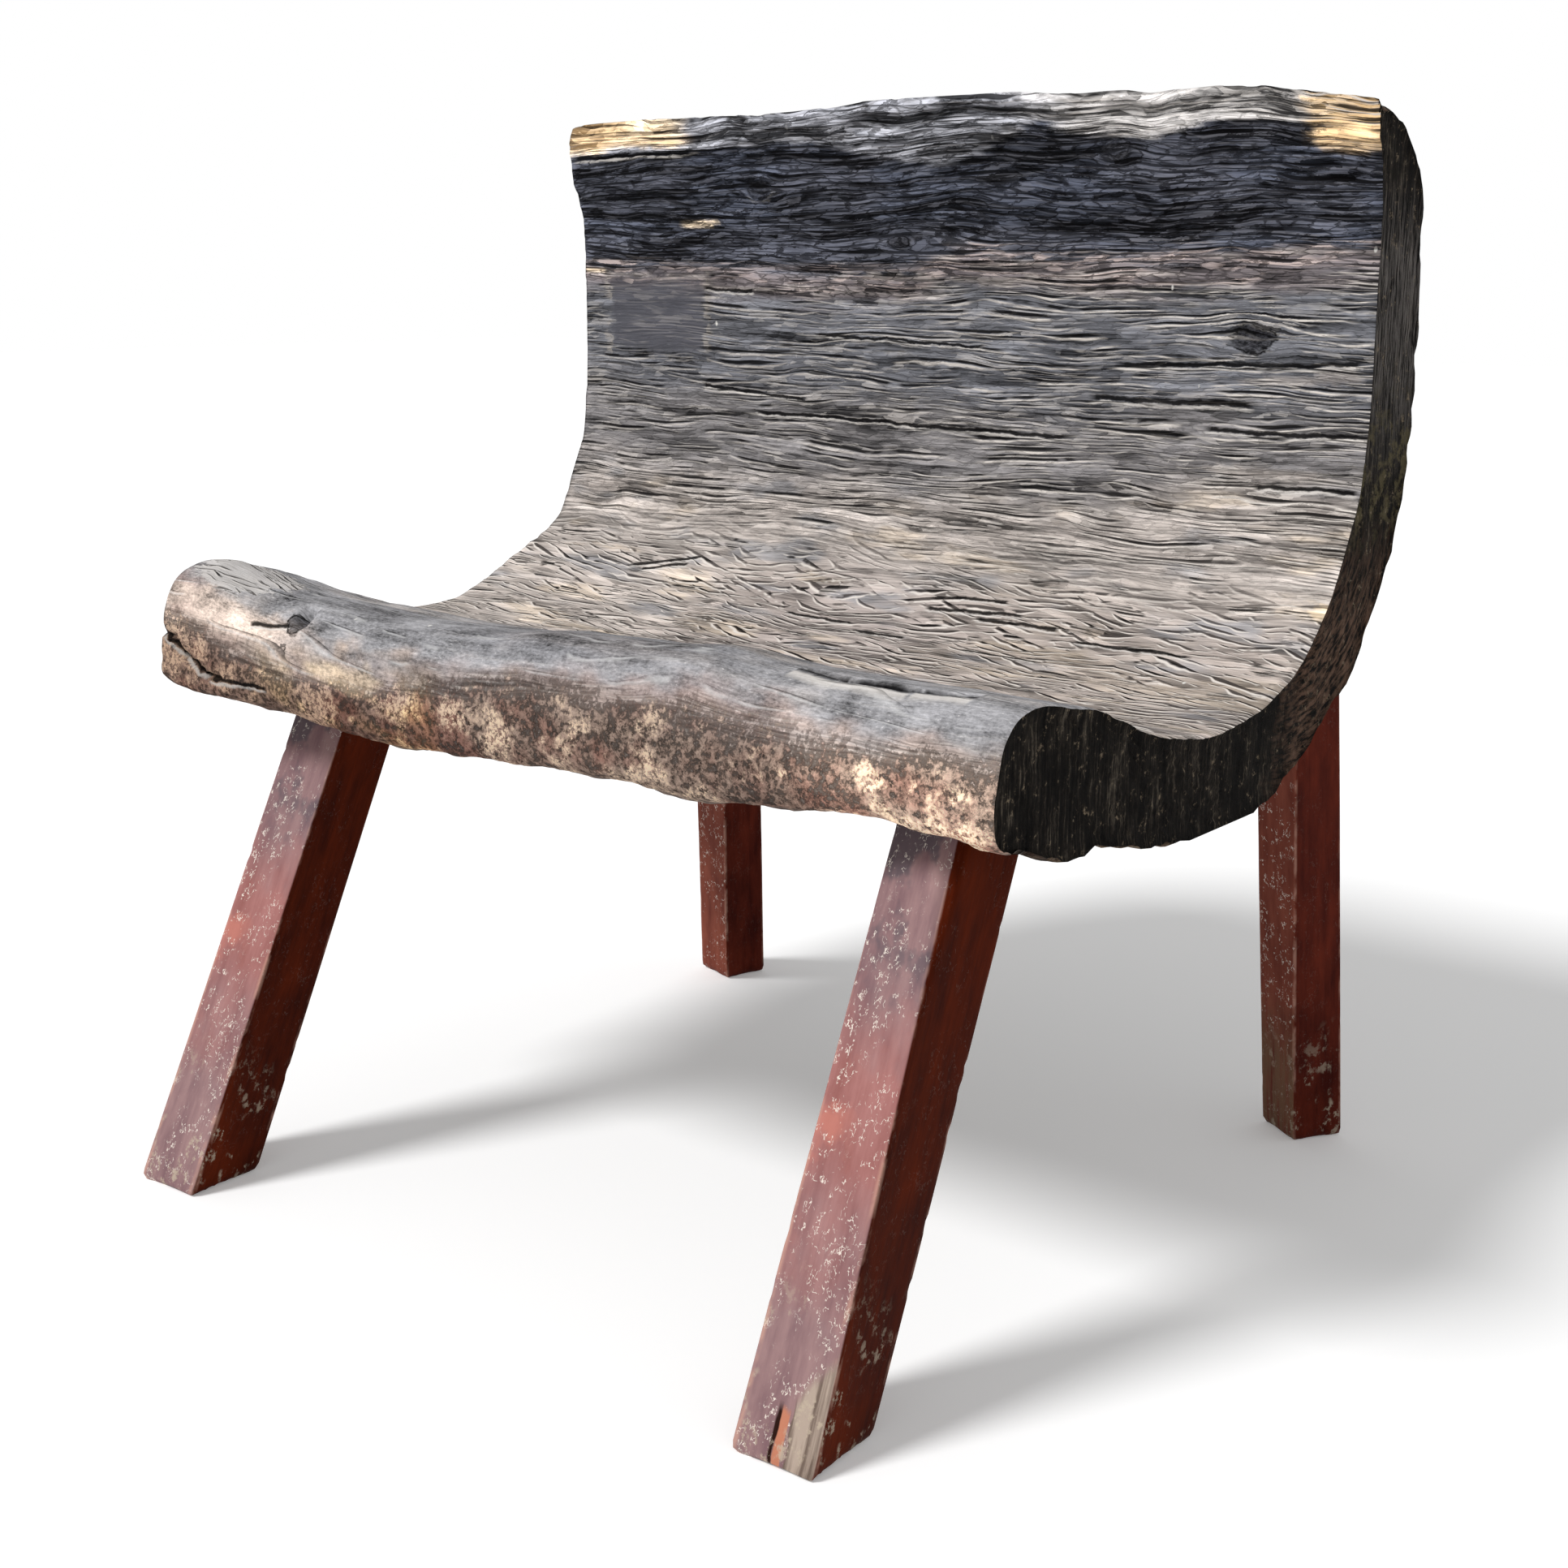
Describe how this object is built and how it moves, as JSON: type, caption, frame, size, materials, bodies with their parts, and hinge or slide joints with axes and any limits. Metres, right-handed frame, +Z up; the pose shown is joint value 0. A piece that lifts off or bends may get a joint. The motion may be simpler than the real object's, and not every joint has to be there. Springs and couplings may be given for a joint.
{
  "type": "log chair",
  "caption": "Low wooden birthing chair: a hollowed log shell makes seat, back and rolled front lip in one piece, on splayed square timber legs.",
  "frame": {"origin": "centre of the overall box at floor level", "axes": "+Z up, the chair faces -Y, +X along the log towards the right-hand end of someone who looks at the chair from the front"},
  "size_m": [0.756, 0.7078, 0.8083],
  "materials": {
    "shell_wood": "weathered and charred, dry, rough grain",
    "leg_wood": "worn red-brown hardwood, low sheen",
    "wedge_wood": "bare"
  },
  "bodies": {
    "root": {"seat_shell": "shell_wood", "front_left_leg": "leg_wood", "front_right_leg": "leg_wood", "rear_left_leg": "leg_wood", "rear_right_leg": "leg_wood", "front_left_wedge": "wedge_wood", "front_right_wedge": "wedge_wood", "rear_left_wedge": "wedge_wood", "rear_right_wedge": "wedge_wood"}
  },
  "joints": []
}
